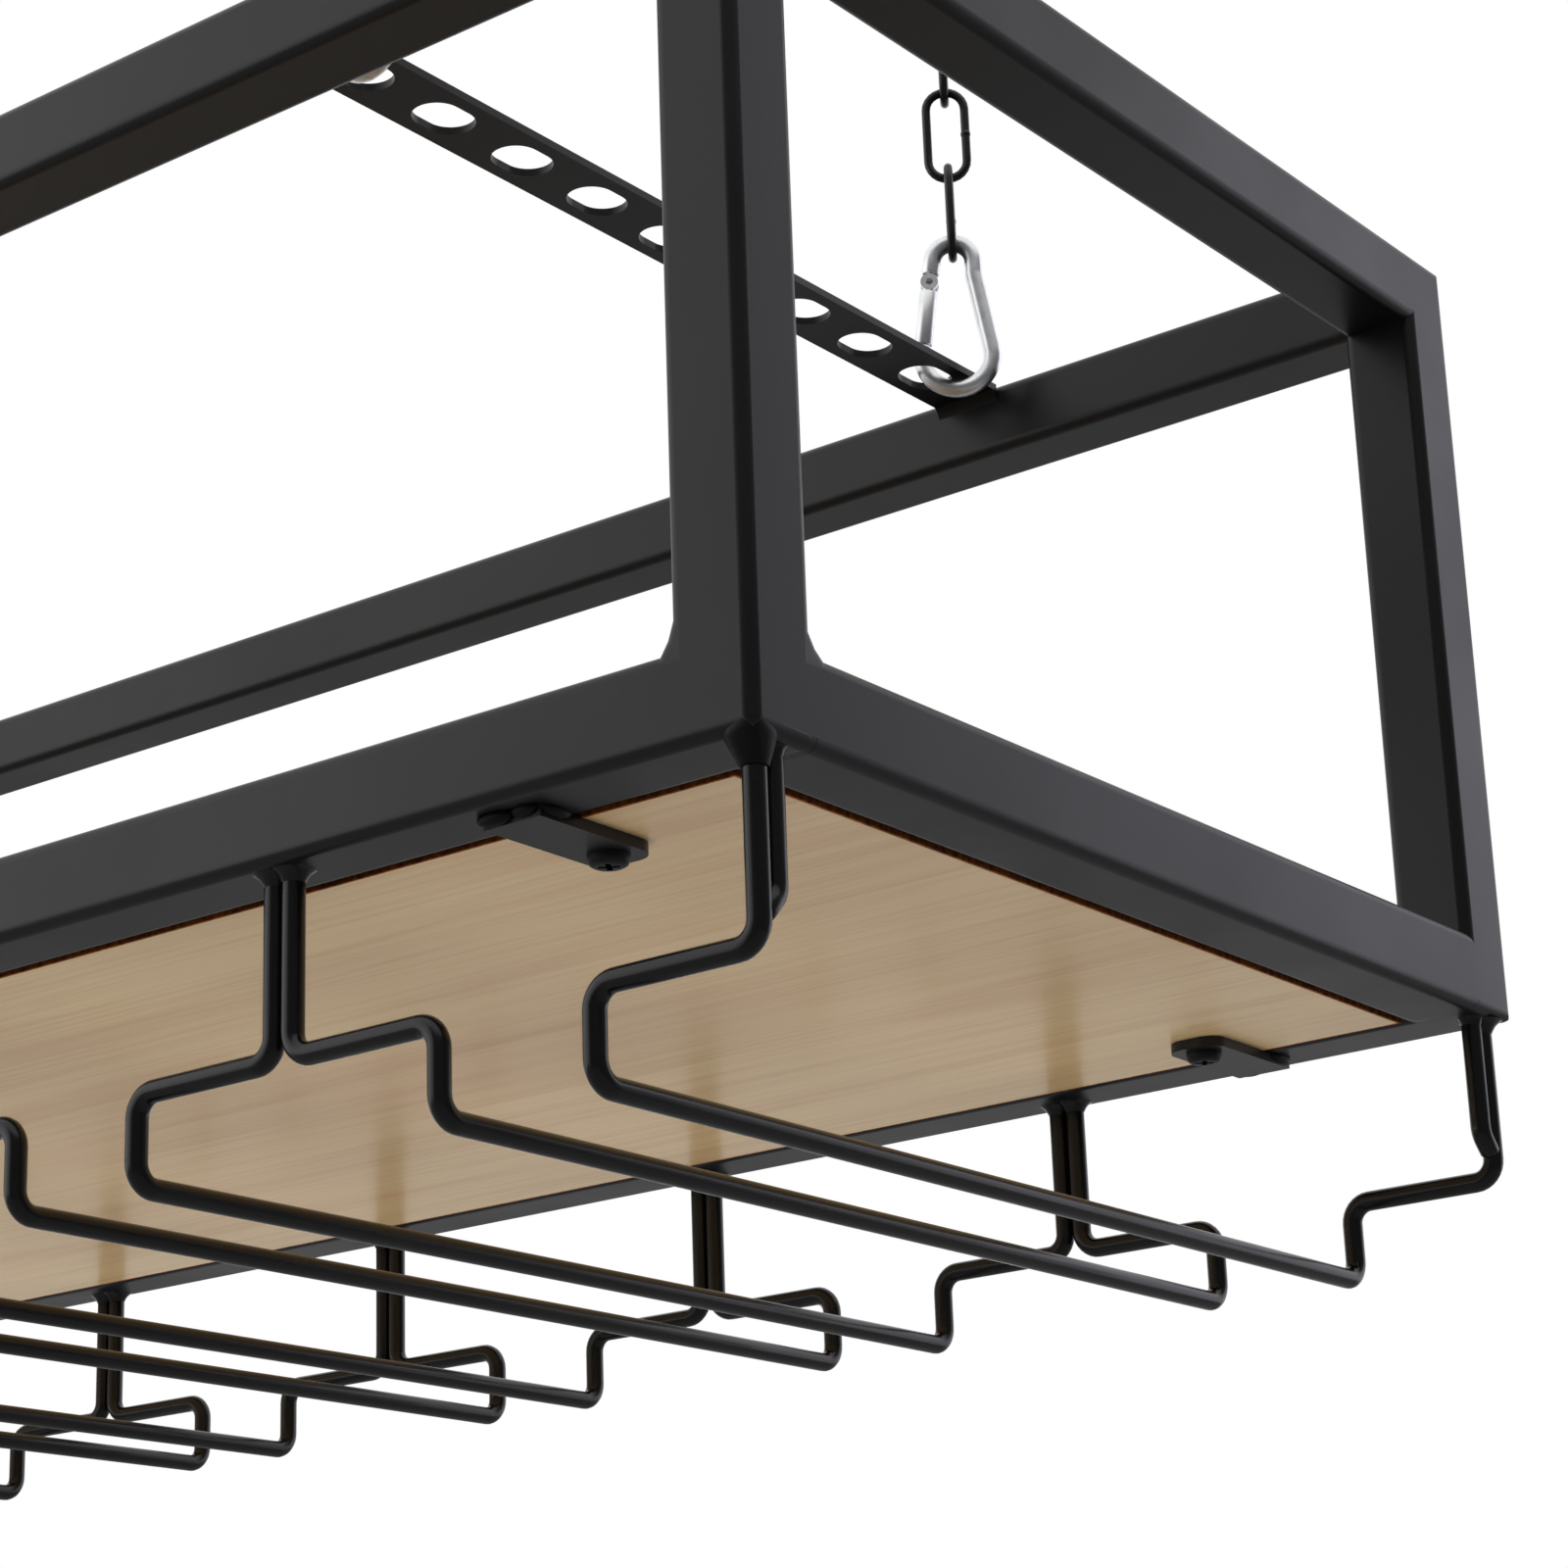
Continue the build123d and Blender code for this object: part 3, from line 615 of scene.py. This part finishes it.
        makePiece(bm, f"{label}CeilingHook", blackChain, "ceiling_fittings", [f"{corner}_ceiling_hook"])
print("chains and hooks hung")

# Camera, at the photograph's viewing angle and solved from the frame's edges
camera = {"place": (899.45, -680.93, -228.45), "right": (0.7939139, 0.6070708, -0.0341429),
          "down": (-0.2153449, 0.2282219, -0.9494953), "lens": 85.71}
lensData = bpy.data.cameras.new("camera")
lensData.lens = camera["lens"]
lensData.sensor_width = 36.0
lensData.sensor_fit = "HORIZONTAL"
lensData.clip_start = 0.01
cameraPiece = bpy.data.objects.new("camera", lensData)
right, up = Vector(camera["right"]).normalized(), -Vector(camera["down"]).normalized()
backward = right.cross(up)
place = Vector(camera["place"]) + Vector((0, 0, frameBottom))
cameraPiece.matrix_world = Matrix.Translation(place * mm) @ Matrix((right, up, backward)).transposed().to_4x4()
bpy.context.scene.collection.objects.link(cameraPiece)
bpy.context.scene.camera = cameraPiece

# Pale floor well below the rack; a glow that only the camera sees lets it meet the backdrop
floor = {"colour": "e9e9e9", "glow": 0.45, "drop": 1.5, "half": 8.0}
bm = bmesh.new()
bmesh.ops.create_grid(bm, x_segments=1, y_segments=1, size=floor["half"])
bmesh.ops.translate(bm, verts=bm.verts, vec=(0, 0, -floor["drop"]))
floorMesh = bpy.data.meshes.new("floor")
bm.to_mesh(floorMesh)
bm.free()
floorPiece = bpy.data.objects.new("floor", floorMesh)
bpy.context.scene.collection.objects.link(floorPiece)
floorPaint, tree, shader, coords = newMaterial("paleFloorPaint", Roughness=0.8)
shader.inputs["Base Color"].default_value = hexColour(floor["colour"])
shader.inputs["Emission Color"].default_value = hexColour(floor["colour"])
floorRays = addNode(tree, "ShaderNodeLightPath")
direct = addNode(tree, "ShaderNodeMath", {1: floor["glow"]}, {0: floorRays.outputs["Is Camera Ray"]},
                 operation="MULTIPLY")
tree.links.new(direct.outputs["Value"], shader.inputs["Emission Strength"])
paint(floorPiece, floorPaint)

# Soft studio light: a bright surround that the camera and shiny metal see as white, and three large panels
world = bpy.data.worlds.new("studio")
bpy.context.scene.world = world
world.use_nodes = True
tree = world.node_tree
tree.nodes.clear()
rays = addNode(tree, "ShaderNodeLightPath")
seen = addNode(tree, "ShaderNodeMath", links={0: rays.outputs["Is Camera Ray"], 1: rays.outputs["Is Glossy Ray"]},
               operation="MAXIMUM")
seen = addNode(tree, "ShaderNodeMath", links={0: seen.outputs["Value"], 1: rays.outputs["Is Transmission Ray"]},
               operation="MAXIMUM")
surround = {"ambient": 0.27}
level = addNode(tree, "ShaderNodeMapRange", {"To Min": surround["ambient"], "To Max": 1.0},
                {"Value": seen.outputs["Value"]})
background = addNode(tree, "ShaderNodeBackground", {"Color": (1, 1, 1, 1)}, {"Strength": level.outputs["Result"]})
addNode(tree, "ShaderNodeOutputWorld", links={"Surface": background.outputs["Background"]})

# a grey curtain round the camera's side, out of its sight, gives rounded edges and wires their dark lines
curtain = {"middle": (0.5, 0.0), "radius": 2.6, "from": -108.0, "to": 52.5, "low": -1.4, "high": 1.8,
           "colour": "b4b4b4"}
bm = bmesh.new()
start = Matrix.Rotation(math.radians(curtain["from"]), 3, "Z") @ Vector((curtain["radius"], 0, 0))
pole = [bm.verts.new(Vector((*curtain["middle"], height)) + start) for height in (curtain["low"], curtain["high"])]
hem = bm.edges.new(pole)
bmesh.ops.spin(bm, geom=pole + [hem], cent=(*curtain["middle"], 0), axis=(0, 0, 1),
               angle=math.radians(curtain["to"] - curtain["from"]), steps=16)
curtainMesh = bpy.data.meshes.new("greyCurtain")
bm.to_mesh(curtainMesh)
bm.free()
curtainPiece = bpy.data.objects.new("greyCurtain", curtainMesh)
curtainPiece.visible_camera = False
curtainPiece.visible_diffuse = False
bpy.context.scene.collection.objects.link(curtainPiece)
curtainPaint, tree, shader, coords = newMaterial("greyFlockedCloth", Roughness=1.0)
shader.inputs["Base Color"].default_value = hexColour(curtain["colour"])
paint(curtainPiece, curtainPaint)

panels = {
    "leftPanel": {"place": (-1.8, -1.7, 0.2), "size": 2.0, "watts": 4.3, "colour": "ffffff", "mirrored": True},
    "rightPanel": {"place": (1.9, 2.5, 0.5), "size": 2.2, "watts": 6.6, "colour": "dcd7ff", "mirrored": True},
    "lowPanel": {"place": (0.1, 0.15, -1.45), "size": 1.6, "watts": 21.5, "colour": "ffffff", "mirrored": False},
}
aimPoint = (0.3, 0.0, -0.3)
for name, panel in panels.items():
    lamp = bpy.data.lights.new(name, "AREA")
    lamp.energy = panel["watts"]
    lamp.size = panel["size"]
    lamp.color = hexColour(panel["colour"])[:3]
    lampPiece = bpy.data.objects.new(name, lamp)
    lampPiece.visible_glossy = panel["mirrored"]
    aim = Vector(aimPoint) - Vector(panel["place"])
    lampPiece.matrix_world = Matrix.Translation(panel["place"]) @ aim.to_track_quat("-Z", "Y").to_matrix().to_4x4()
    bpy.context.scene.collection.objects.link(lampPiece)
bpy.context.scene.view_settings.view_transform = "Standard"
print("camera, floor and light set")
